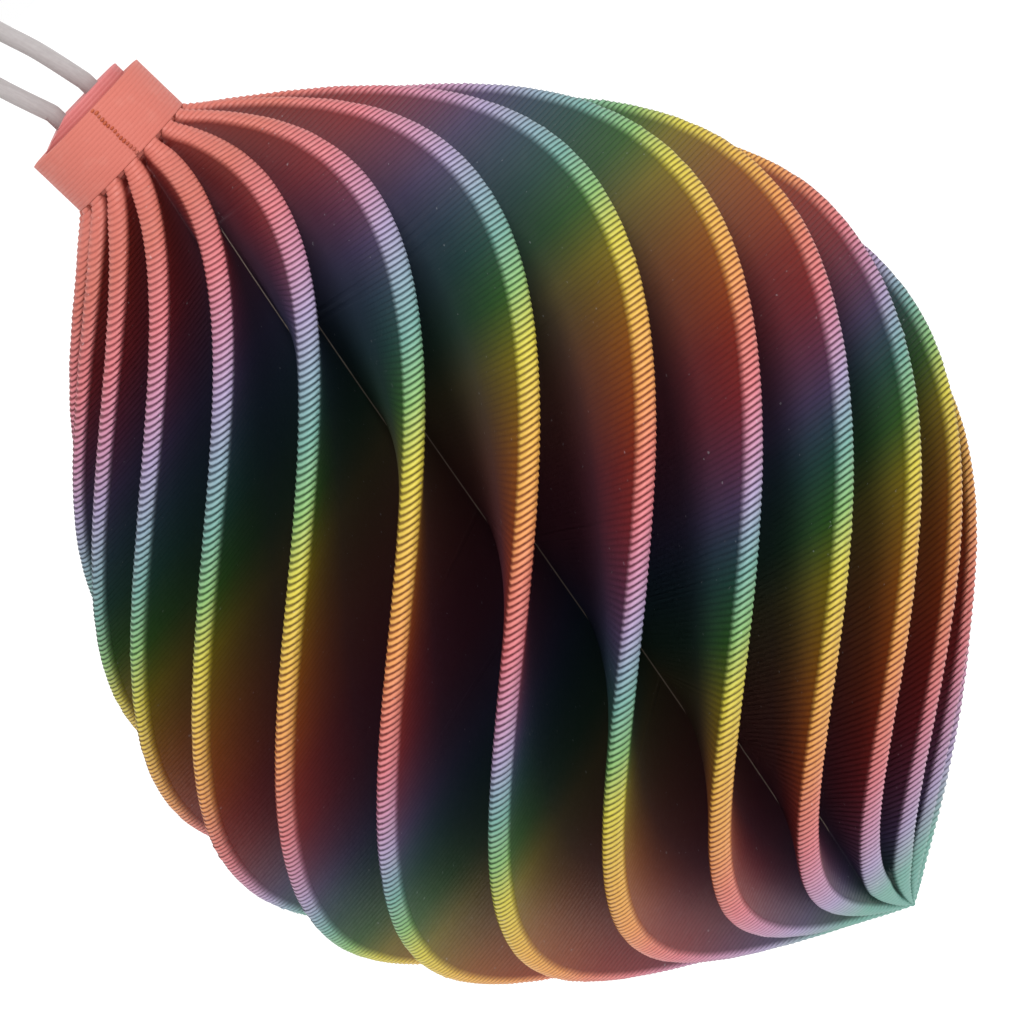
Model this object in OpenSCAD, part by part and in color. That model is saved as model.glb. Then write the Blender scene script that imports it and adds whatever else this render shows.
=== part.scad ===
// Hanging bauble: a twisted, finned, onion-shaped body under a round collar, with a plug in the
// collar's mouth that holds a strap loop.
// The frame: +Z is up, the bauble hangs, and the origin is where a hook carries the top of the loop.
// Everything is below the origin. "rise" in this file is a height above the body's bottom tip.

/* [Body] */
// Widest diameter, over the rims of the fins
body_d = 60; // [50:1:80]
// Height of the finned part, from the bottom tip to the collar's foot
body_h = 73.2; // [65:0.1:95]
// Height of the widest place above the bottom tip
waist_h = 36.9; // [33:0.1:42]
// Half-angle of the cone that the bottom tip starts with, in degrees
tip_angle = 59; // [52:1:66]
// Half-angle of the cone that the shoulder ends with under the collar, in degrees
shoulder_angle = 45; // [40:1:55]

/* [Fins] */
// Number of fins
fins = 16; // [12:1:16]
// Thickness of a fin
fin_t = 1.6; // [1.2:0.1:2]
// Diameter of the core that the fins stand on
core_d = 9.2; // [8:0.2:14]
// Twist at the waist, in degrees for each millimetre of height
twist_rate = 2.46; // [0:0.02:2.6]
// Extra twist that is gained towards each end, in degrees
end_twist = 8; // [0:1:12]

/* [Collar and plug] */
// Outer diameter of the collar
collar_d = 9.8; // [9:0.1:12]
// Height of the collar
collar_h = 4.2; // [4:0.1:8]
// Diameter of the plug in the collar's mouth
plug_d = 7.5; // [7:0.1:8]
// Length of the plug's stem inside the collar
plug_grip = 2.4; // [2:0.1:3]
// Height that the plug's high side stands above the collar's rim
plug_proud = 0.85; // [0.6:0.05:0.85]

/* [Strap loop] */
// Diameter of the strap's cord
strap_d = 1.2; // [0.8:0.1:1.2]

/* [Hidden] */

// Angle between neighbouring fins
fin_step = 360 / fins;
// Turn of the whole set of fins, so that the strap's two strands stand side by side along X
fin_phase = 11.7;
// Thickness of a fin as a share of the body's radius, where the body is too slim for full fins
slim_share = 0.25;
// The core's radius as a share of the body's, where the body is slim
core_share = 0.45;
// Room between neighbouring fins' roots, as a multiple of the radius at which they would touch
root_spread = 1.12;
// The shallowest groove's floor, as a share of the radius
highest_floor = 0.97;
// A fin tip's rounding, as a share of the fin's height
round_share = 0.8;
// Depth at which the grooves run out under the collar, for each millimetre below the foot
run_out = 1.6;
// Depth of the shallow flutes that are left where the body meets the collar
foot_flute = 0.2;

// The strap loop's route in X and Z, from the left strand's end over the hook to the right one's.
strap_route = [
    [-1.5, -53.5], [-2.6, -50], [-3.6, -46], [-4.5, -41], [-5.1, -35], [-5.3, -28], [-5.0, -20],
    [-4.3, -12], [-3.7, -6], [-3.2, -2.4], [-2.6, -0.9], [-1.5, 0.2], [0, 0.6], [1.5, 0.2],
    [2.6, -0.9], [3.0, -2.4], [2.4, -6], [1.4, -12], [0.0, -20], [-0.9, -28], [-1.2, -35],
    [-0.9, -41], [-0.3, -46], [0.8, -50], [1.5, -53.5]
];
strap_sides = 8;
strap_steps = 2;
// Angles of the two rings that round each end of a strand, before its end point
end_dome = [35, 65];

// Heights in the frame: the collar's rim, its foot and the body's bottom tip
rim_z = -55;
foot_z = rim_z - collar_h;
tip_z = foot_z - body_h;
// Distance of each strand from the axis where it leaves the plug
strand_x = 1.5;
// Clearances around the plug's stem and around the strap's tails
plug_clear = 0.03;
tail_clear = 0.03;
// Thickness of the knot under the plug
knot_d = 1.8;
// Where the plug's worn slope starts, left of its middle
worn_x = 1.1;
// How far a cutting shape reaches past what it cuts
spare = 1;

// The body's outline is two cubic arcs that meet at the waist, as [radius, rise] points.
foot_r = collar_d / 2;
tip_arm = 28;
waist_arm_below = 13.5;
waist_arm_above = 18.7;
shoulder_arm = 3;
lower_arc = [
    [0, 0],
    tip_arm * [sin(tip_angle), cos(tip_angle)],
    [body_d / 2, waist_h - waist_arm_below],
    [body_d / 2, waist_h]
];
upper_arc = [
    [body_d / 2, waist_h],
    [body_d / 2, waist_h + waist_arm_above],
    [foot_r, body_h] + shoulder_arm * [sin(shoulder_angle), -cos(shoulder_angle)],
    [foot_r, body_h]
];
// Steps along each arc, and where the tip's last ring is, below which it is a plain point
lower_steps = 23;
upper_steps = 24;
blunt_tip = 0.014;

function arc_point(arc, u) =
    pow(1 - u, 3) * arc[0] + 3 * u * pow(1 - u, 2) * arc[1]
    + 3 * u * u * (1 - u) * arc[2] + pow(u, 3) * arc[3];

outline = concat(
    [for (i = [0 : lower_steps]) arc_point(lower_arc, max(i / lower_steps, blunt_tip))],
    [for (i = [1 : upper_steps]) arc_point(upper_arc, i / upper_steps)]
);

// The fins' turn at a rise above the tip: even at the waist, a little faster towards the ends
function turn_at(rise) =
    fin_phase + twist_rate * (rise - waist_h) + end_twist * pow((rise - waist_h) / waist_h, 3);

function fin_thickness(r) = min(fin_t, slim_share * r);

// The grooves' floor: the core, or where the fins' roots meet, rising to the surface at the foot
function floor_radius(r, rise) =
    let (
        roots_meet = root_spread * fin_thickness(r) / 2 / sin(fin_step / 2),
        core = min(core_d / 2, core_share * r),
        run_out_r = r - foot_flute - run_out * (body_h - rise)
    )
    max(roots_meet, core, min(run_out_r, r - foot_flute));

// One fin and the groove after it in cross-section: a root, a round tip, a root, the groove's floor
function fin_points(r, rise) =
    let (
        half = fin_thickness(r) / 2,
        floor_r = min(floor_radius(r, rise), highest_floor * r),
        root = sqrt(floor_r * floor_r - half * half),
        tip = min(half, round_share * (r - floor_r))
    )
    [
        [root, -half],
        [r - tip, -half],
        [r - tip * (1 - cos(45)), -half * sin(45)],
        [r, 0],
        [r - tip * (1 - cos(45)), half * sin(45)],
        [r - tip, half],
        [root, half],
        floor_r * [cos(fin_step / 2), sin(fin_step / 2)]
    ];

function turned(p, a, z) = [p[0] * cos(a) - p[1] * sin(a), p[0] * sin(a) + p[1] * cos(a), z];

function body_ring(r, rise) = [
    for (f = [0 : fins - 1])
        for (p = fin_points(r, rise))
            turned(p, turn_at(rise) + f * fin_step, tip_z + rise)
];

// The triangles of a skin over rings of n points each. The rings' points are followed by two more,
// the first and the last end's middle, and each end is closed by a fan of triangles about it.
function skin_faces(n, rings) = concat(
    [for (k = [0 : rings - 2]) for (j = [0 : n - 1])
        [k * n + j, (k + 1) * n + j, k * n + (j + 1) % n]],
    [for (k = [0 : rings - 2]) for (j = [0 : n - 1])
        [(k + 1) * n + j, (k + 1) * n + (j + 1) % n, k * n + (j + 1) % n]],
    [for (j = [0 : n - 1]) [j, (j + 1) % n, rings * n]],
    [for (j = [0 : n - 1]) [(rings - 1) * n + (j + 1) % n, (rings - 1) * n + j, rings * n + 1]]
);

// The strap's smooth line: a curve through the route's points that leaves each one towards the
// direction between its neighbours
function route_at(i) = strap_route[max(0, min(len(strap_route) - 1, i))];

function through(a, b, c, d, u) =
    0.5 * ((2 * b) + (c - a) * u + (2 * a - 5 * b + 4 * c - d) * u * u
    + (3 * b - a - 3 * c + d) * pow(u, 3));

strap_line = concat(
    [for (i = [0 : len(strap_route) - 2]) for (k = [0 : strap_steps - 1])
        through(route_at(i - 1), route_at(i), route_at(i + 1), route_at(i + 2), k / strap_steps)],
    [strap_route[len(strap_route) - 1]]
);

function heading(i) =
    let (
        last = len(strap_line) - 1,
        d = strap_line[min(last, i + 1)] - strap_line[max(0, i - 1)]
    )
    d / norm(d);

// A ring of the strap's tube about point p, across direction d, with radius r
function strap_ring(p, d, r) = [
    for (k = [0 : strap_sides - 1])
        let (
            a = k * 360 / strap_sides,
            side = r * cos(a)
        )
        [p[0] + side * d[1], r * sin(a), p[1] - side * d[0]]
];

// The rings that round an end, from the blunt end to the full width
function dome_rings(p, d, angles) = [
    for (a = angles) strap_ring(p - strap_d / 2 * sin(a) * d, d, strap_d / 2 * cos(a))
];

module finned_body() {
    rings = [for (p = outline) body_ring(p[0], p[1])];
    color("mediumorchid")
        polyhedron(
            points = concat([for (ring = rings) each ring], [[0, 0, tip_z], [0, 0, foot_z]]),
            faces = skin_faces(len(rings[0]), len(rings)),
            convexity = 12
        );
}

module collar() {
    color("salmon")
        translate([0, 0, foot_z])
            difference() {
                cylinder(h = collar_h, d = collar_d, $fn = 96);
                translate([0, 0, -spare])
                    cylinder(h = collar_h + 2 * spare, d = plug_d + 2 * plug_clear, $fn = 96);
            }
}

// The plug is a short stub. Its left side is worn down to the collar's rim.
module plug() {
    hole_h = plug_grip + plug_proud + 2 * spare;
    worn_part = [
        [-worn_x, plug_proud],
        [-worn_x, plug_proud + spare],
        [-plug_d, plug_proud + spare],
        [-plug_d, 0],
        [-plug_d / 2, 0]
    ];
    color("lightcoral")
        translate([0, 0, rim_z])
            difference() {
                translate([0, 0, -plug_grip])
                    cylinder(h = plug_grip + plug_proud, d = plug_d, $fn = 96);
                rotate([90, 0, 0])
                    translate([0, 0, -plug_d])
                        linear_extrude(height = 2 * plug_d)
                            polygon(worn_part);
                for (x = [-strand_x, strand_x])
                    translate([x, 0, -plug_grip - spare])
                        cylinder(h = hole_h, d = strap_d + 2 * tail_clear, $fn = 32);
            }
}

// The height where a tail ends, flush with the plug's top above it
function tail_top(x) = rim_z + plug_proud * min(1, (plug_d / 2 + x) / (plug_d / 2 - worn_x));

// The knot lies under the plug, and the strap's two tails rise from it through the plug.
module knot() {
    knot_z = rim_z - plug_grip - knot_d / 2;
    color("silver") {
        translate([-strand_x, 0, knot_z])
            rotate([0, 90, 0])
                cylinder(h = 2 * strand_x, d = knot_d, $fn = 48);
        for (x = [-strand_x, strand_x]) {
            translate([x, 0, knot_z])
                sphere(d = knot_d, $fn = 48);
            translate([x, 0, knot_z])
                cylinder(h = tail_top(x) - knot_z, d = strap_d, $fn = 32);
        }
    }
}

module hanging_loop() {
    last = len(strap_line) - 1;
    rings = concat(
        dome_rings(strap_line[0], heading(0), [end_dome[1], end_dome[0]]),
        [for (i = [0 : last]) strap_ring(strap_line[i], heading(i), strap_d / 2)],
        [for (a = end_dome)
            strap_ring(
                strap_line[last] + strap_d / 2 * sin(a) * heading(last),
                heading(last),
                strap_d / 2 * cos(a)
            )]
    );
    ends = [
        strap_line[0] - strap_d / 2 * heading(0),
        strap_line[last] + strap_d / 2 * heading(last)
    ];
    color("gainsboro")
        polyhedron(
            points = concat([for (ring = rings) each ring], [for (e = ends) [e[0], 0, e[1]]]),
            faces = skin_faces(strap_sides, len(rings)),
            convexity = 6
        );
}

finned_body();
collar();
plug();
knot();
hanging_loop();
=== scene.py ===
# %% [markdown]
# # A twisted, finned hanging bauble
# The bauble is one 3-D print in rainbow silk plastic: sixteen thin fins twist round a slim core, and a
# round collar stands on top. A plug in the collar holds a loop of soft cord. This lesson dresses the
# exact CAD parts: the camera and the cord come first, then the printed pieces layer by layer, then the
# finishes and the light.

# %% The frame
import math

import bpy
import numpy as np
from mathutils import Matrix, Vector


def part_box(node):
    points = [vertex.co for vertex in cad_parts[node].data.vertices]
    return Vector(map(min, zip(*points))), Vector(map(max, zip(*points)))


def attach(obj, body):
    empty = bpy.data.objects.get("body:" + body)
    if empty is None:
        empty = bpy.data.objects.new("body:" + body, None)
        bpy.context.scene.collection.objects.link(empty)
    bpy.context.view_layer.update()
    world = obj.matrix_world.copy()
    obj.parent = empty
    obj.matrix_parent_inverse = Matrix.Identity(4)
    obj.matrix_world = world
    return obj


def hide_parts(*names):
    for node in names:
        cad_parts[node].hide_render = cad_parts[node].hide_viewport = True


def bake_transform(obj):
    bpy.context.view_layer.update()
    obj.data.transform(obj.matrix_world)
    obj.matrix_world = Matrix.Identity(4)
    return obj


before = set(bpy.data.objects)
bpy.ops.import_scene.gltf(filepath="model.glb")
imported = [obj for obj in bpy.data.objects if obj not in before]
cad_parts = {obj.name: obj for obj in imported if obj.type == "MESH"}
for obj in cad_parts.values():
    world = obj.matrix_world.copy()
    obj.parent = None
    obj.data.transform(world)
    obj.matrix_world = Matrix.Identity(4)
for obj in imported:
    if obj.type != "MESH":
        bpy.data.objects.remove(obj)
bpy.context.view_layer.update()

MM = 0.001
tip_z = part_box("finned_body")[0].z
foot_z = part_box("collar")[0].z
rim_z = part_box("collar")[1].z
body_h = foot_z - tip_z
print("body height", round(body_h / MM, 2), "mm, rim at", round(rim_z / MM, 2), "mm")

# %% [markdown]
# ## The camera
# A long lens from about a third of a metre keeps the bauble's sides nearly parallel. The camera looks a
# little down from the collar's side, and it is rolled, so that the bauble lies across the view with its
# tip at the lower right. The three axes of the camera are worked out first, and they make its matrix.

# %% The camera
look_down = math.radians(8.2)
roll = math.radians(46.3)
camera_distance = 333 * MM
camera_aim = Vector((0.43 * MM, 0, tip_z + 38.6 * MM))
field_of_view = math.radians(11.73)

back = Vector((0, -math.cos(look_down), math.sin(look_down)))
level_up = Vector((0, math.sin(look_down), math.cos(look_down)))
level_right = Vector((1, 0, 0))
camera_right = math.cos(roll) * level_right - math.sin(roll) * level_up
camera_up = math.sin(roll) * level_right + math.cos(roll) * level_up

camera_data = bpy.data.cameras.new("camera")
camera_data.sensor_width = 36
camera_data.lens = camera_data.sensor_width / 2 / math.tan(field_of_view / 2)
camera_data.clip_start = 0.01
camera_data.clip_end = 50
camera = bpy.data.objects.new("camera", camera_data)
bpy.context.scene.collection.objects.link(camera)
turn = Matrix((camera_right, camera_up, back)).transposed().to_4x4()
camera.matrix_world = Matrix.Translation(camera_aim + camera_distance * back) @ turn
bpy.context.scene.camera = camera
print("lens", round(camera_data.lens, 1), "mm")

# %% [markdown]
# ## One helper for every swept skin
# The fins, the cord and the knot are all a stack of rings. The helper adds a grid, which brings a tidy UV
# map, and lays its rows along the rings. Merging the doubles closes the seam and the two ends, because
# the first and the last row are single points. A formula places the rings, since no one operator twists
# fins by a law.


# %% A skin from rings
def deselect_all():
    for thing in bpy.context.selected_objects:
        thing.select_set(False)


def select_only(thing):
    deselect_all()
    thing.select_set(True)
    bpy.context.view_layer.objects.active = thing


def tidy_mesh(thing, merge_gap=1e-7, outward=True):
    select_only(thing)
    bpy.ops.object.mode_set(mode="EDIT")
    bpy.ops.mesh.select_all(action="SELECT")
    bpy.ops.mesh.remove_doubles(threshold=merge_gap)
    bpy.ops.mesh.dissolve_degenerate(threshold=merge_gap)
    if outward:
        bpy.ops.mesh.normals_make_consistent(inside=False)
    bpy.ops.object.mode_set(mode="OBJECT")


def swept_skin(name, rings, values=None):
    """rings is rows x points x 3, in metres. values are named numbers, one for each point."""
    rows, points = rings.shape[:2]
    deselect_all()
    bpy.ops.mesh.primitive_grid_add(x_subdivisions=points, y_subdivisions=rows - 1, size=1)
    skin = bpy.context.active_object
    skin.name = skin.data.name = name
    spots = np.zeros(len(skin.data.vertices) * 3)
    skin.data.vertices.foreach_get("co", spots)
    spots = spots.reshape(-1, 3)
    column = np.rint((spots[:, 0] + 0.5) * points).astype(int) % points
    row = np.rint((spots[:, 1] + 0.5) * (rows - 1)).astype(int)
    skin.data.vertices.foreach_set("co", rings[row, column].ravel())
    for key, numbers in (values or {}).items():
        layer = skin.data.attributes.new(key, "FLOAT", "POINT")
        layer.data.foreach_set("value", numbers[row, column].ravel().astype(np.float32))
    tidy_mesh(skin)
    print(name, len(skin.data.vertices), "points,", len(skin.data.polygons), "faces")
    return skin


def tube_rings(line, radius, sides, flat=(0, 1, 0), closed=False):
    """Round rings along a line of points, which never runs along the direction flat."""
    line = np.asarray(line, float)
    ahead = np.roll(line, -1, axis=0) - np.roll(line, 1, axis=0) if closed else np.gradient(line, axis=0)
    ahead /= np.linalg.norm(ahead, axis=1)[:, None]
    side = np.cross(ahead, flat)
    side /= np.linalg.norm(side, axis=1)[:, None]
    other = np.cross(side, ahead)
    angle = np.arange(sides) / sides * 2 * math.pi
    spread = np.cos(angle)[None, :, None] * side[:, None] + np.sin(angle)[None, :, None] * other[:, None]
    rings = line[:, None] + radius * spread
    if closed:
        return np.concatenate([rings, rings[:1]])
    ends = [np.repeat(line[i][None, None], sides, axis=1) for i in (0, -1)]
    return np.concatenate([ends[0], rings, ends[1]])


# %% [markdown]
# ## The cord loop
# The cord is about 1.2 mm thick. Its two strands leave the plug side by side, lean to the left as they
# rise, and meet over the hook. The route repeats the CAD loop's own points, and a smooth curve runs
# through them. A mesh tube is used, because the cord has to bend where it leaves the plug.

# %% The cord loop
strap_d = 1.2 * MM
strand_x = 1.5 * MM
strap_route = [
    (-1.5, -53.5), (-2.6, -50), (-3.6, -46), (-4.5, -41), (-5.1, -35), (-5.3, -28), (-5.0, -20),
    (-4.3, -12), (-3.7, -6), (-3.2, -2.4), (-2.6, -0.9), (-1.5, 0.2), (0, 0.6), (1.5, 0.2),
    (2.6, -0.9), (3.0, -2.4), (2.4, -6), (1.4, -12), (0.0, -20), (-0.9, -28), (-1.2, -35),
    (-0.9, -41), (-0.3, -46), (0.8, -50), (1.5, -53.5),
]


def smooth_line(points, steps):
    """A curve that leaves each point towards the direction between its neighbours."""
    points = np.asarray(points, float)
    held = np.concatenate([points[:1], points, points[-1:]])
    share = np.arange(steps)[:, None] / steps
    parts = []
    for a, b, c, d in zip(held[:-3], held[1:-2], held[2:-1], held[3:]):
        curve = 2 * b + (c - a) * share + (2 * a - 5 * b + 4 * c - d) * share**2
        parts.append(0.5 * (curve + (3 * b - a - 3 * c + d) * share**3))
    return np.concatenate(parts + [points[-1:]])


strap_line = smooth_line([(x * MM, 0, z * MM) for x, z in strap_route], 14)
tail_end = rim_z - 0.3 * MM
strap_line = np.concatenate(
    [[(-strand_x, 0, tail_end)], strap_line, [(strand_x, 0, tail_end)]]
)
strap_length = np.linalg.norm(np.diff(strap_line, axis=0), axis=1).sum()
cord_loop = swept_skin("cord_loop", tube_rings(strap_line, strap_d / 2, 20))
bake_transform(cord_loop)
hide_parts("hanging_loop")
print("cord in the loop", round(strap_length / MM, 1), "mm")

# %% [markdown]
# ## The knot under the plug
# The two tails pass through the plug and are tied together below it, where nobody sees them until the
# plug is pulled. A real cord is squeezed flat in such a knot, so its strand is thinner. The line is the
# overhand knot's own curve, with three crossings.

# %% The knot and its tails
knot_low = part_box("knot")[0]
knot_r = 0.95 * MM
knot_strand_d = 0.95 * MM
knot_z = knot_low.z + 0.9 * MM
turns = np.linspace(0, 2 * math.pi, 121)[:-1]
knot_line = np.stack(
    [
        knot_r * (np.sin(turns) + 2 * np.sin(2 * turns)),
        knot_r * (np.cos(turns) - 2 * np.cos(2 * turns)),
        knot_z - 0.42 * MM * np.sin(3 * turns),
    ],
    axis=1,
)
tied_knot = swept_skin("tied_knot", tube_rings(knot_line, knot_strand_d / 2, 14, (0, 0, 1), closed=True))
tails = []
for side in (-1, 1):
    bend = [(0.5 * side, 0.35, 0.35), (1.1 * side, 0.2, 0.45), (1.45 * side, 0.05, 0.8), (1.5 * side, 0, 1.5)]
    tail_line = [(x * MM, y * MM, knot_z + z * MM) for x, y, z in bend]
    tail_line.append((side * strand_x, 0, tail_end))
    tail = swept_skin("knot_tail", tube_rings(smooth_line(tail_line, 8), 0.49 * strap_d, 16))
    tails.append(tail)
select_only(tied_knot)
for tail in tails:
    tail.select_set(True)
bpy.ops.object.join()
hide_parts("knot")
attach(tied_knot, "plug")

# %% [markdown]
# ## The finned body, printed layer by layer
# The printer lays beads 0.28 mm high. Each layer is the same sixteen-fin star, a little wider or narrower
# than the one below and turned a little further, so the fins' edges are small steps that look like rope.
# Two rings make each layer, one at its bottom and one at its top, so the steps are real shape. A slow
# drift and a few proud beads keep the print from looking perfect.

# %% The body's sizes
body_r = max(math.hypot(v.co.x, v.co.y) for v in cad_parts["finned_body"].data.vertices)
foot_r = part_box("collar")[1].x
waist_h = 36.9 * MM
layer_h = 0.28 * MM
fin_count = 16
fin_t = 1.6 * MM
core_r = 4.6 * MM
fin_phase = math.radians(11.7)
twist_rate = math.radians(2.46) / MM
end_twist = math.radians(8)
print("body radius", round(body_r / MM, 2), "mm, foot radius", round(foot_r / MM, 2), "mm")

# %% [markdown]
# ## The outline and the twist
# Two cubic arcs meet at the waist: one rises from the tip, and one falls in to the collar's foot. The
# fins turn evenly at the waist and a little faster towards both ends. These laws are the ones that the
# CAD body follows.

# %% The outline and the twist
tip_cone = math.radians(59)
tip_arm = 28 * MM
waist_arm_below = 13.5 * MM
waist_arm_above = 18.7 * MM
shoulder_cone = math.radians(45)
shoulder_arm = 3 * MM


def arc(a, b, c, d):
    u = np.linspace(0, 1, 400)[:, None]
    a, b, c, d = (np.array(p, float) for p in (a, b, c, d))
    return (1 - u) ** 3 * a + 3 * u * (1 - u) ** 2 * b + 3 * u * u * (1 - u) * c + u**3 * d


waist = (body_r, waist_h)
lower_arc = arc(
    (0, 0),
    (tip_arm * math.sin(tip_cone), tip_arm * math.cos(tip_cone)),
    (body_r, waist_h - waist_arm_below),
    waist,
)
upper_arc = arc(
    waist,
    (body_r, waist_h + waist_arm_above),
    (foot_r + shoulder_arm * math.sin(shoulder_cone), body_h - shoulder_arm * math.cos(shoulder_cone)),
    (foot_r, body_h),
)
outline = np.concatenate([lower_arc, upper_arc[1:]])


def outline_radius(rise):
    return float(np.interp(rise, outline[:, 1], outline[:, 0]))


def fin_turn(rise):
    return fin_phase + twist_rate * (rise - waist_h) + end_twist * ((rise - waist_h) / waist_h) ** 3


print("whole twist", round(math.degrees(fin_turn(body_h) - fin_turn(0))), "degrees")

# %% [markdown]
# ## One fin and its groove
# Each layer is a star of sixteen fins with round caps. The groove's floor is the slim core, or where the
# fins' roots meet. It rises to the surface under the collar, and the last millimetre at the tip is solid.

# %% The star's shape
slim_share = 0.25
round_share = 0.8
core_share = 0.45
root_spread = 1.12
foot_flute = 0.2 * MM
run_out_slope = 1.6
solid_tip_h = 1.2 * MM
highest_floor = 0.97
cap_angles = np.radians([-90, -60, -30, 0, 30, 60, 90])
on_cap = np.array([False] + [True] * len(cap_angles) + [False, False])
groove_middle = math.pi / fin_count
droop = 0.25


def groove_floor(radius, rise, half):
    roots_meet = root_spread * half / math.sin(groove_middle)
    core = min(core_r, core_share * radius)
    run_out = min(radius - foot_flute - run_out_slope * (body_h - rise), radius - foot_flute)
    solid_tip = radius * (0.93 - 0.3 * rise / solid_tip_h)
    return min(max(roots_meet, core, run_out, solid_tip), highest_floor * radius)


def fin_star(rise, drift):
    """One fin and its groove: the outline, then each point's distance, angle and sag."""
    radius = outline_radius(rise) + drift
    half = min(fin_t, slim_share * radius) / 2
    floor = groove_floor(radius, rise, half)
    cap = min(half, round_share * (radius - floor))
    root = math.sqrt(floor**2 - half**2)
    cap_out = radius - cap + cap * np.cos(cap_angles)
    outward = np.array([root, *cap_out, root, floor * math.cos(groove_middle)])
    across = np.array([-half, *(half * np.sin(cap_angles)), half, floor * math.sin(groove_middle)])
    sag = droop * np.where(on_cap, across, np.sign(across) * half)
    sag[-1] = 0
    return radius, np.hypot(outward, across), np.arctan2(across, outward), sag


# %% [markdown]
# ## The layers
# A cap keeps half of its layer's step, and the walls run smoothly, since only the fins' edges show as
# rope. The beads droop over the side that overhangs, and the droop fades out at both ends. Three numbers
# are stored on each point for the finish: its depth below the outline, its layer, and a mark on the
# core's floor.

# %% The finned body
random = np.random.default_rng(28)
layers = round(body_h / layer_h)
step = body_h / layers
fin_azimuths = np.arange(fin_count) * 2 * math.pi / fin_count
seam_gap = 0.05
stepped = 0.5
tip_fade = 4 * MM
foot_fade = 2 * MM
wander = np.convolve(random.normal(0, 0.02 * MM, layers + 8), np.ones(3) / 3, "same")
proud = random.random((layers, fin_count)) < 0.02
proud_by = 0.05 * MM / body_r

rings, depths, counts = [], [], []
for layer in range(layers):
    for share in (seam_gap, 1 - seam_gap):
        level = (layer + share) * step
        held = (layer + 0.5 + (share - 0.5) * (1 - stepped)) * step
        radius, distance, direction, sag = fin_star(held, wander[layer])
        angles = np.where(on_cap, fin_turn(held), fin_turn(level)) + fin_azimuths[:, None] + direction
        reach = distance * (1 + proud[layer][:, None] * proud_by)
        fade = min(1, level / tip_fade, (body_h - level) / foot_fade)
        z = np.broadcast_to(tip_z + level - fade * sag, reach.shape)
        ring = np.stack([reach * np.cos(angles), reach * np.sin(angles), z], axis=-1)
        rings.append(ring.reshape(-1, 3))
        depths.append(np.tile((radius - distance) / MM, fin_count))
        counts.append(np.full(reach.size, layer + share))
across_ring = len(rings[0])
rings = [np.tile((0, 0, tip_z), (across_ring, 1)), *rings, np.tile((0, 0, foot_z), (across_ring, 1))]
depths = [np.zeros(across_ring), *depths, np.zeros(across_ring)]
counts = [np.zeros(across_ring), *counts, np.full(across_ring, layers)]
# The core's floor is marked, for the painted light that the finish puts there.
core_marks = np.zeros(np.shape(counts))
core_marks[1:-1, len(on_cap) - 1 :: len(on_cap)] = 1
values = {"depth": np.array(depths), "layer": np.array(counts), "core": core_marks}
finned_shell = swept_skin("finned_shell", np.array(rings), values)

# %% [markdown]
# ## Sharp beads, soft walls
# Shading by angle keeps each bead's edge crisp. The walls of the grooves are smooth on the real print, so
# the edges that lie deeper than the fins' round caps are made soft again.

# %% Sharp beads, soft walls
select_only(finned_shell)
bpy.ops.object.shade_smooth_by_angle(angle=math.radians(48))
soft_from = 0.9
mesh = finned_shell.data
edge_points = np.zeros(2 * len(mesh.edges), int)
mesh.edges.foreach_get("vertices", edge_points)
deep = np.zeros(len(mesh.vertices), np.float32)
mesh.attributes["depth"].data.foreach_get("value", deep)
sharp = np.zeros(len(mesh.edges), bool)
mesh.attributes["sharp_edge"].data.foreach_get("value", sharp)
sharp &= deep[edge_points].reshape(-1, 2).max(axis=1) < soft_from
mesh.attributes["sharp_edge"].data.foreach_set("value", sharp)
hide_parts("finned_body")
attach(finned_shell, "bauble")
print("sharp edges", int(sharp.sum()))

# %% [markdown]
# ## Round prints
# The collar and the plug are round prints, so a profile is drawn once and spun about the axis. The
# profile bulges a little in every layer. A profile that starts off the axis is closed into a ring, as for
# a sleeve.


# %% A spun print
def bead_wall(radius, low, high, bulge, steps=4):
    """A wall of printed beads, from low to high, as radius and height pairs."""
    count = max(1, round((high - low) / layer_h))
    height = (high - low) / count
    shares = (np.arange(steps) + 0.5) / steps
    wall = [(radius - bulge, low)]
    for k in range(count):
        for s in shares:
            wall.append((radius - bulge * (1 - math.sin(math.pi * s)), low + (k + s) * height))
    return wall


def spun_print(name, profile, steps):
    """profile is radius and height pairs, in order round the wall or from the axis to the axis."""
    mesh = bpy.data.meshes.new(name)
    spots = [(r, 0, z) for r, z in profile]
    closed = profile[0][0] > 0
    edges = [(i, i + 1) for i in range(len(spots) - 1)]
    if closed:
        edges.append((len(spots) - 1, 0))
    mesh.from_pydata(spots, edges, [])
    piece = bpy.data.objects.new(name, mesh)
    bpy.context.scene.collection.objects.link(piece)
    select_only(piece)
    bpy.ops.object.mode_set(mode="EDIT")
    bpy.ops.mesh.select_all(action="SELECT")
    bpy.ops.mesh.spin(steps=steps, angle=2 * math.pi, center=(0, 0, 0), axis=(0, 0, 1))
    bpy.ops.object.mode_set(mode="OBJECT")
    tidy_mesh(piece, merge_gap=1e-6)
    bpy.ops.object.shade_smooth_by_angle(angle=math.radians(60))
    print(name, len(piece.data.polygons), "faces")
    return piece


# %% [markdown]
# ## The collar
# The collar is a sleeve with a bore for the plug. Its outer wall keeps the printer's seam: where each
# layer starts there is a shallow groove, with a low ridge beside it. Both are smooth bumps, so two bell
# curves move the wall's points in and out.

# %% The collar
bore_r = 3.78 * MM
lip_radii = [4.75 * MM, 4.5 * MM, 4.2 * MM, 3.95 * MM]
seam_azimuth = math.radians(-85)
seam_reach = 0.8 * MM
groove_depth, groove_half = 0.12 * MM, 0.16 * MM
ridge_height, ridge_half, ridge_offset = 0.05 * MM, 0.14 * MM, 0.3 * MM


def bell(distance, half_width):
    return math.exp(-((distance / half_width) ** 2))


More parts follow.
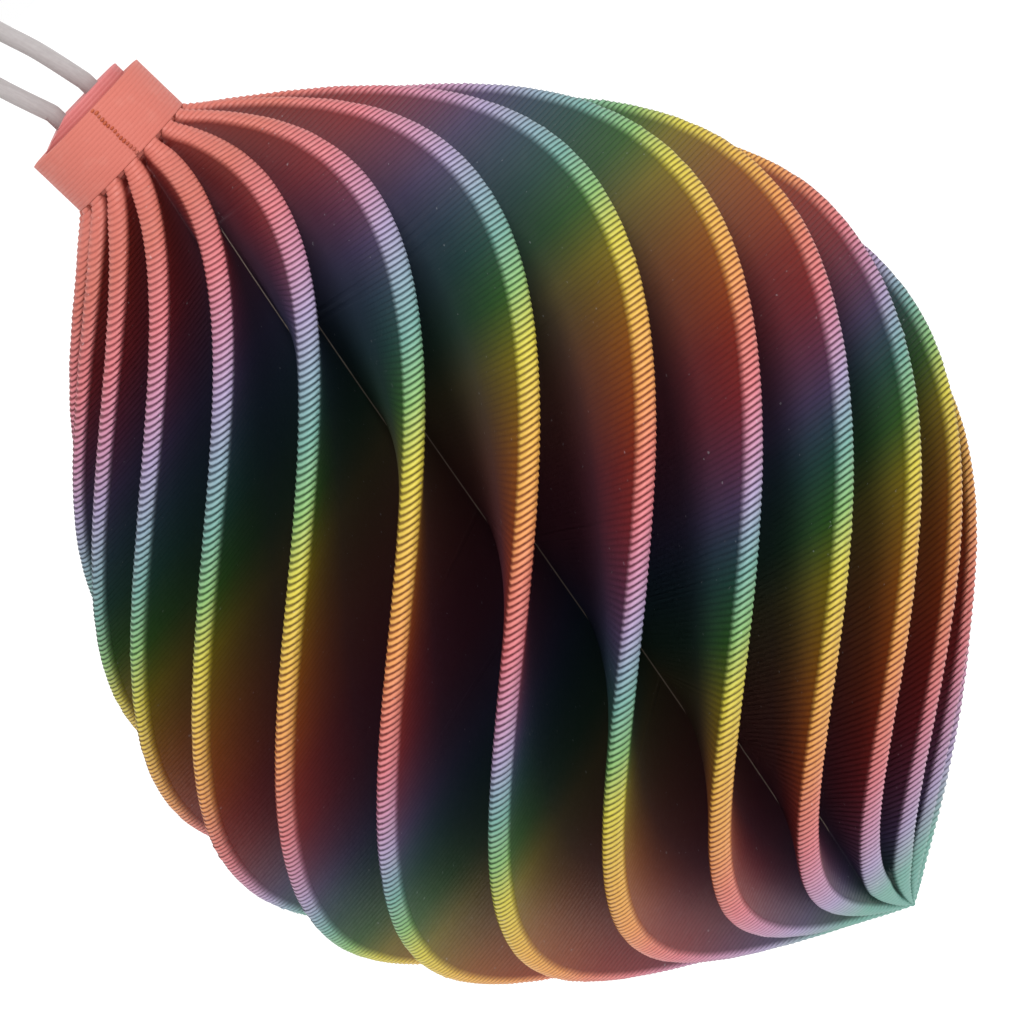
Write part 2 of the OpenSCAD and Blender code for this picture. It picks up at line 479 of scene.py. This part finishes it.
outer = bead_wall(foot_r, foot_z, rim_z, 0.015 * MM)
inner = [(2 * bore_r - r, z) for r, z in reversed(bead_wall(bore_r, foot_z, rim_z, 0.03 * MM, 2))]
collar_sleeve = spun_print("collar_sleeve", [*outer, *((r, rim_z) for r in lip_radii), *inner], 160)
for vertex in collar_sleeve.data.vertices:
    r = math.hypot(vertex.co.x, vertex.co.y)
    gap = math.remainder(math.atan2(vertex.co.y, vertex.co.x) - seam_azimuth, 2 * math.pi) * r
    if r > foot_r - 0.3 * MM and abs(gap) < seam_reach:
        shift = ridge_height * bell(gap + ridge_offset, ridge_half) - groove_depth * bell(gap, groove_half)
        vertex.co.x *= 1 + shift / r
        vertex.co.y *= 1 + shift / r
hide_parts("collar")
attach(collar_sleeve, "bauble")

# %% [markdown]
# ## The seam's blobs
# A little plastic oozes out where each layer starts. Each blob is a small flattened sphere with a size
# and place of its own, sunk in the groove, and all of them are joined into one piece.

# %% The seam's blobs
blobs = []
seam_layers = round((rim_z - foot_z) / layer_h)
for k in range(seam_layers):
    angle = seam_azimuth + math.radians(random.normal(0.6, 0.5))
    where = Vector((math.cos(angle), math.sin(angle), 0)) * (foot_r - 0.1 * MM)
    where.z = foot_z + (k + 0.5) * (rim_z - foot_z) / seam_layers
    deselect_all()
    size = random.uniform(0.11, 0.15) * MM
    bpy.ops.mesh.primitive_ico_sphere_add(subdivisions=2, radius=size, location=where)
    blob = bpy.context.active_object
    bpy.ops.object.mode_set(mode="EDIT")
    bpy.ops.transform.resize(value=(1.35, 1, 0.8), center_override=where)
    bpy.ops.object.mode_set(mode="OBJECT")
    bpy.ops.object.transform_apply(location=True, rotation=False, scale=False)
    blobs.append(blob)
seam_blobs = blobs[0]
select_only(seam_blobs)
for blob in blobs[1:]:
    blob.select_set(True)
bpy.ops.object.join()
seam_blobs.name = seam_blobs.data.name = "seam_blobs"
bpy.ops.object.shade_smooth()
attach(seam_blobs, "bauble")
print("seam blobs", len(blobs))

# %% [markdown]
# ## The plug
# The plug is a short stub that stands a little proud of the collar. Its left side is worn down to the
# rim, and each strand sinks into a small dimple. Its round form is spun, then the points above the slope
# are lowered.

# %% The plug
plug_low, plug_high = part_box("plug")
plug_r = 3.75 * MM
worn_x = 1.1 * MM
dimple_depth, dimple_half = 0.14 * MM, 0.75 * MM
stem = bead_wall(plug_r, plug_low.z, plug_high.z, 0.03 * MM)
face_radii = np.linspace(plug_r - 0.12 * MM, 0, 20)
face = [(r, plug_high.z) for r in face_radii]
base = [(0, plug_low.z), (1.2 * MM, plug_low.z), (2.5 * MM, plug_low.z), (plug_r - 0.15 * MM, plug_low.z)]
plug_stub = spun_print("plug_stub", [*base, *stem, *face], 96)
for vertex in plug_stub.data.vertices:
    spot = vertex.co
    slope = min(1, (plug_r + spot.x) / (plug_r - worn_x))
    ceiling = rim_z + (plug_high.z - rim_z) * slope
    near_strand = min(math.hypot(spot.x - side * strand_x, spot.y) for side in (-1, 1))
    dimple = dimple_depth * bell(near_strand, dimple_half)
    if spot.z > ceiling - dimple and spot.z > rim_z - 0.01 * MM:
        spot.z = max(ceiling - dimple, rim_z - dimple)
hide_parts("plug")
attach(plug_stub, "plug")

# %% [markdown]
# ## Shader sums as plain sums
# A printed finish is mostly arithmetic on height: which band, which layer, how deep in a groove. The
# small class below lets that arithmetic be written as ordinary expressions, and each adds its own Math
# nodes.


# %% Sums on sockets
class Wire:
    """A number or colour that flows from one node's socket."""

    def __init__(self, tree, socket):
        self.tree = tree
        self.socket = socket

    def sum_node(self, operation, *numbers, clamp=False):
        settings = {"operation": operation, "use_clamp": clamp}
        return add_node(self.tree, "ShaderNodeMath", settings, dict(enumerate(numbers)))

    def __add__(self, other):
        return self.sum_node("ADD", self, other)

    __radd__ = __add__

    def __sub__(self, other):
        return self.sum_node("SUBTRACT", self, other)

    def __rsub__(self, other):
        return self.sum_node("SUBTRACT", other, self)

    def __mul__(self, other):
        return self.sum_node("MULTIPLY", self, other)

    __rmul__ = __mul__

    def __truediv__(self, other):
        return self.sum_node("DIVIDE", self, other)

    def __pow__(self, other):
        return self.sum_node("POWER", self, other)

    def __gt__(self, other):
        return self.sum_node("GREATER_THAN", self, other)

    def size(self):
        return self.sum_node("ABSOLUTE", self)

    def fraction(self):
        return self.sum_node("FRACT", self)

    def clamped(self):
        return self.sum_node("ADD", self, 0, clamp=True)


def add_node(tree, kind, settings=None, sockets=None, output=0):
    """One node: its settings first, then its sockets' values or links. Returns one of its outputs."""
    node = tree.nodes.new(kind)
    for name, value in (settings or {}).items():
        if name == "stops":
            ramp = node.color_ramp
            while len(ramp.elements) < len(value):
                ramp.elements.new(1)
            for element, (place, colour) in zip(ramp.elements, value):
                element.position = place
                element.color = colour
        else:
            setattr(node, name, value)
    for name, value in (sockets or {}).items():
        socket = node.inputs[name]
        if isinstance(value, Wire):
            tree.links.new(value.socket, socket)
        else:
            socket.default_value = value
    return Wire(tree, node.outputs[output])


# %% [markdown]
# ## Helpers for materials
# Every finish starts from a Principled shader with a few plain values. What varies over the surface is
# then fed into it. Colours are written as sRGB numbers, which people know, and turned into the shader's
# own kind.


# %% Helpers for materials
def new_material(name, **shader_values):
    material = bpy.data.materials.new(name)
    material.use_nodes = True
    shader = material.node_tree.nodes["Principled BSDF"]
    for key, value in shader_values.items():
        shader.inputs[key.replace("_", " ")].default_value = value
    return material, material.node_tree, shader


def feed(tree, shader, socket, wire):
    tree.links.new(wire.socket, shader.inputs[socket])


def mixed(tree, share, a, b, blend="MIX"):
    """Colour b over colour a by a share."""
    settings = {"data_type": "RGBA", "blend_type": blend}
    return add_node(tree, "ShaderNodeMix", settings, {0: share, 6: a, 7: b}, output=2)


def paint(red, green, blue, strength=1):
    """An sRGB colour from 0 to 255, as the linear colour that shaders use, times a strength."""
    linear = [((c / 255 + 0.055) / 1.055) ** 2.4 if c > 10 else c / 255 / 12.92 for c in (red, green, blue)]
    return (*(strength * c for c in linear), 1)


# %% [markdown]
# ## The rainbow plastic
# The strand of plastic changes colour along its length, so a band is short where the layers are wide and
# tall where they are small. The bands are a ramp over height. Layers are fine beads: a bump rounds them,
# and painted shade darkens the gaps between them. Painted shade also darkens the grooves with depth, as a
# narrow groove catches little light, and a paler painted light marks the core's floor.

# %% The rainbow's bands
SALMON = (212, 116, 101)
PINK = (222, 126, 134)
MAUVE = (202, 142, 172)
LAVENDER = (176, 160, 196)
SKY = (142, 168, 184)
TEAL = (120, 173, 160)
GREEN = (140, 188, 112)
YELLOW = (218, 206, 72)
AMBER = (236, 180, 78)
ORANGE = (236, 157, 88)
CORAL = (228, 131, 110)
bands = [
    (0, TEAL), (3.5, TEAL), (6.5, LAVENDER), (9.3, MAUVE), (12, PINK), (14.5, CORAL), (17, ORANGE),
    (20.5, AMBER), (24.8, YELLOW), (27.2, GREEN), (29.6, TEAL), (31, SKY), (32.5, LAVENDER), (34.5, MAUVE),
    (36.8, PINK), (39.3, CORAL), (41.5, ORANGE), (44.5, AMBER), (48.8, YELLOW), (51.6, GREEN), (54.3, TEAL),
    (56.8, SKY), (59.5, LAVENDER), (62, MAUVE), (65, PINK), (69, SALMON), (78, SALMON),
]
band_top = bands[-1][0]


# %% [markdown]
# ## The printed finish
# One function makes all the printed finishes. It works out where a point is in its layer, and from that
# comes the bead's round bulge and a painted shade in the thin gap between two beads. In the body's grooves
# the colour is multiplied by itself, a painted stand-in for light that bounces between two coloured walls
# and gets stronger in colour, and painted shade darkens it with depth.


# %% Beads and gaps
def place_in_layer(tree, z, own_layer):
    """0 to 1 up through a layer: from the mesh's own layer numbers, or else from the height."""
    if own_layer:
        return add_node(tree, "ShaderNodeAttribute", {"attribute_name": "layer"}, output=2).fraction()
    return ((z - foot_z) / layer_h).fraction()


def noise(tree, place, scale, detail):
    return add_node(tree, "ShaderNodeTexNoise", None, {"Vector": place, "Scale": scale, "Detail": detail})


# %% The printed finish
def printed_finish(name, colour_of, bead_bump, gap_shade, grooved=False):
    material, tree, shader = new_material(name, Specular_IOR_Level=0.4)
    place = add_node(tree, "ShaderNodeTexCoord", output=3)
    z = add_node(tree, "ShaderNodeSeparateXYZ", None, {0: place}, output=2)
    edge = (place_in_layer(tree, z, grooved) * 2 - 1).size()
    bulge = (1 - edge * edge) ** 0.5
    gap = edge**3.5
    milky = (noise(tree, place, 900.0, 3.0) - 0.5).clamped() * 0.1
    colour = mixed(tree, milky, colour_of(tree, z), paint(255, 240, 225))
    if grooved:
        # From the depth come the masks for painted shade on the groove walls and deeper down; the gaps'
        # painted shade and the bead bump fade there.
        depth = add_node(tree, "ShaderNodeAttribute", {"attribute_name": "depth"}, output=2)
        wall = ((depth - 0.45) / 0.5).clamped()
        depth_shade = ((depth - 0.8) / 8).clamped()
        crisp = ((foot_z - z) / (9 * MM)).clamped() * ((z - tip_z) / (7 * MM)).clamped()
        shown = (1 - wall * 0.8) * (1 - depth_shade * 0.9)
        gap = gap * shown * (0.15 + crisp * 0.85)
        bulge = bulge * shown * (0.25 + crisp * 0.75)
    # Painted shade in the gap between two beads: the colour is multiplied by itself there, then mixed towards
    # near black.
    colour = mixed(tree, (gap * gap_shade * 1.4).clamped(), colour, colour, blend="MULTIPLY")
    colour = mixed(tree, (gap * gap_shade * 0.75).clamped(), colour, paint(16, 8, 14))
    if grooved:
        # Painted shade and painted light in the grooves, then dust.
        colour = groove_painted_shading_and_dust(tree, place, colour, depth, wall, depth_shade)
    feed(tree, shader, "Base Color", colour)
    rough = noise(tree, place, 2200.0, 2.0)
    feed(tree, shader, "Roughness", 0.42 + rough * 0.2 + gap * 0.2)
    relief = {"Strength": 1.0, "Distance": bead_bump, "Height": bulge + rough * 0.12}
    feed(tree, shader, "Normal", add_node(tree, "ShaderNodeBump", None, relief))
    return material


def groove_painted_shading_and_dust(tree, place, colour, depth, wall, depth_shade):
    """Painted shade on the walls and with depth, painted light on the core's floor, and a little dust."""
    # Painted shade on the walls: the colour multiplied by itself, then mixed towards near black.
    colour = mixed(tree, wall, colour, colour, blend="MULTIPLY")
    colour = mixed(tree, wall * 0.5, colour, paint(3, 5, 8))
    # Painted shade that deepens with depth.
    colour = mixed(tree, depth_shade * 0.62, colour, paint(34, 40, 58))
    core = add_node(tree, "ShaderNodeAttribute", {"attribute_name": "core"}, output=2)
    # Painted light: a paler strip on the core's floor, deep in each groove.
    colour = mixed(tree, core * (depth > 9) * 0.7, colour, paint(205, 185, 165))
    dust = ((noise(tree, place, 2600.0, 1.0) - 0.765) * 30).clamped()
    return mixed(tree, dust * 0.22, colour, paint(200, 205, 210))


# %% [markdown]
# ## The four printed colours
# The body and the collar share the rainbow. The plug is a plain pink, and the seam's blobs are a darker
# orange, as plastic that has stayed longer in the hot nozzle.


# %% The four printed colours
def rainbow_colour(tree, z):
    share = (z - tip_z) / (band_top * MM)
    stops = [(rise / band_top, paint(*colour, 0.76)) for rise, colour in bands]
    return add_node(tree, "ShaderNodeValToRGB", {"stops": stops}, {0: share})


def plug_colour(tree, z):
    share = (z - rim_z + 2 * MM) / (3 * MM)
    stops = [(0, paint(*SALMON, 0.7)), (1, paint(224, 126, 126, 0.7))]
    return add_node(tree, "ShaderNodeValToRGB", {"stops": stops}, {0: share})


def scar_colour(tree, z):
    share = ((z - foot_z) / (rim_z - foot_z)).fraction()
    stops = [(0, paint(206, 112, 96, 0.6)), (0.3, paint(188, 84, 48, 0.7)), (1, paint(196, 92, 50, 0.7))]
    return add_node(tree, "ShaderNodeValToRGB", {"stops": stops}, {0: share})


rainbow_print = printed_finish("rainbow_print", rainbow_colour, 0.14 * MM, 0.7, grooved=True)
collar_print = printed_finish("collar_print", rainbow_colour, 0.012 * MM, 0.05)
plug_print = printed_finish("plug_print", plug_colour, 0.012 * MM, 0.05)
scar_print = printed_finish("scar_print", scar_colour, 0.02 * MM, 0.1)
print("printed finishes", rainbow_print.name, collar_print.name, plug_print.name, scar_print.name)

# %% [markdown]
# ## The cord's fibres
# A thin soft cord looks smooth from arm's length. Fine fibres run along it, so its grain is a noise that
# is stretched along the tube's own UV map, and a little sheen softens its edges.


# %% The cord's finish
fibres_round = 26
fibre_length = 1.5 * MM
knot_length = 30 * MM


def cord_finish(name, length):
    material, tree, shader = new_material(name, Roughness=0.8, Sheen_Weight=0.25, Sheen_Roughness=0.5)
    uv = add_node(tree, "ShaderNodeTexCoord", output=2)
    stretch = {0: uv, "Scale": (fibres_round, length / fibre_length, 1)}
    fibres = noise(tree, add_node(tree, "ShaderNodeMapping", None, stretch), 1.0, 2.0)
    grain = noise(tree, add_node(tree, "ShaderNodeTexCoord", output=3), 3000.0, 2.0)
    share = (fibres * 0.7 + grain * 0.3).clamped()
    feed(tree, shader, "Base Color", mixed(tree, share, paint(136, 130, 130), paint(170, 165, 164)))
    relief = {"Strength": 0.25, "Distance": 0.03 * MM, "Height": fibres + grain}
    feed(tree, shader, "Normal", add_node(tree, "ShaderNodeBump", None, relief))
    return material


soft_cord = cord_finish("soft_cord", strap_length)
knot_cord = cord_finish("knot_cord", knot_length)

# %% [markdown]
# ## Each piece gets its finish
# The export keeps one material on each piece. The cord and the knot are smooth all over, so they are
# shaded smooth, while the printed pieces keep the sharp edges that they already have.

# %% Each piece gets its finish
for piece, material in (
    (finned_shell, rainbow_print),
    (collar_sleeve, collar_print),
    (seam_blobs, scar_print),
    (plug_stub, plug_print),
    (cord_loop, soft_cord),
    (tied_knot, knot_cord),
):
    piece.data.materials.clear()
    piece.data.materials.append(material)
    print(piece.name, "is finished in", material.name)
for piece in (cord_loop, tied_knot):
    select_only(piece)
    bpy.ops.object.shade_smooth()

# %% [markdown]
# ## The floor
# A hanging bauble casts no sharp shadow, so the floor lies well under it. It is plain, pale and very
# wide, so that its far edge is never seen, and it glows a little to stay white.

# %% The floor
deselect_all()
bpy.ops.mesh.primitive_plane_add(size=900, location=(0, 0, tip_z - 0.12))
floor = bpy.context.active_object
floor.name = floor.data.name = "floor"
pale = (0.86, 0.86, 0.86, 1)
white = (1, 1, 1, 1)
glow = {"Emission_Color": white, "Emission_Strength": 0.3}
floor.data.materials.append(new_material("pale_floor", Base_Color=pale, Roughness=0.9, **glow)[0])
print("floor at", round(floor.location.z / MM), "mm")

# %% [markdown]
# ## The light
# A white sky gives soft light from all round. One large soft lamp over the upper left models the fins,
# and it leaves each groove's far side in shadow. The Standard view keeps the plastic's colours as they
# are painted.

# %% The light
world = bpy.data.worlds.new("pale_sky")
bpy.context.scene.world = world
world.use_nodes = True
world.node_tree.nodes["Background"].inputs["Color"].default_value = white
world.node_tree.nodes["Background"].inputs["Strength"].default_value = 1.0


def soft_lamp(name, where, size, power):
    """A round lamp at a place, turned towards what the camera looks at."""
    lamp_data = bpy.data.lights.new(name, "AREA")
    lamp_data.shape = "DISK"
    lamp_data.size = size
    lamp_data.energy = power
    lamp = bpy.data.objects.new(name, lamp_data)
    bpy.context.scene.collection.objects.link(lamp)
    lamp.location = where
    lamp.rotation_euler = (camera_aim - where).to_track_quat("-Z", "Y").to_euler()
    print(name, power, "W")


soft_lamp("key_lamp", camera_aim + 0.45 * camera_up - 0.25 * camera_right + 0.65 * back, 0.3, 4)
bpy.context.scene.view_settings.view_transform = "Standard"
bpy.context.scene.view_settings.look = "None"
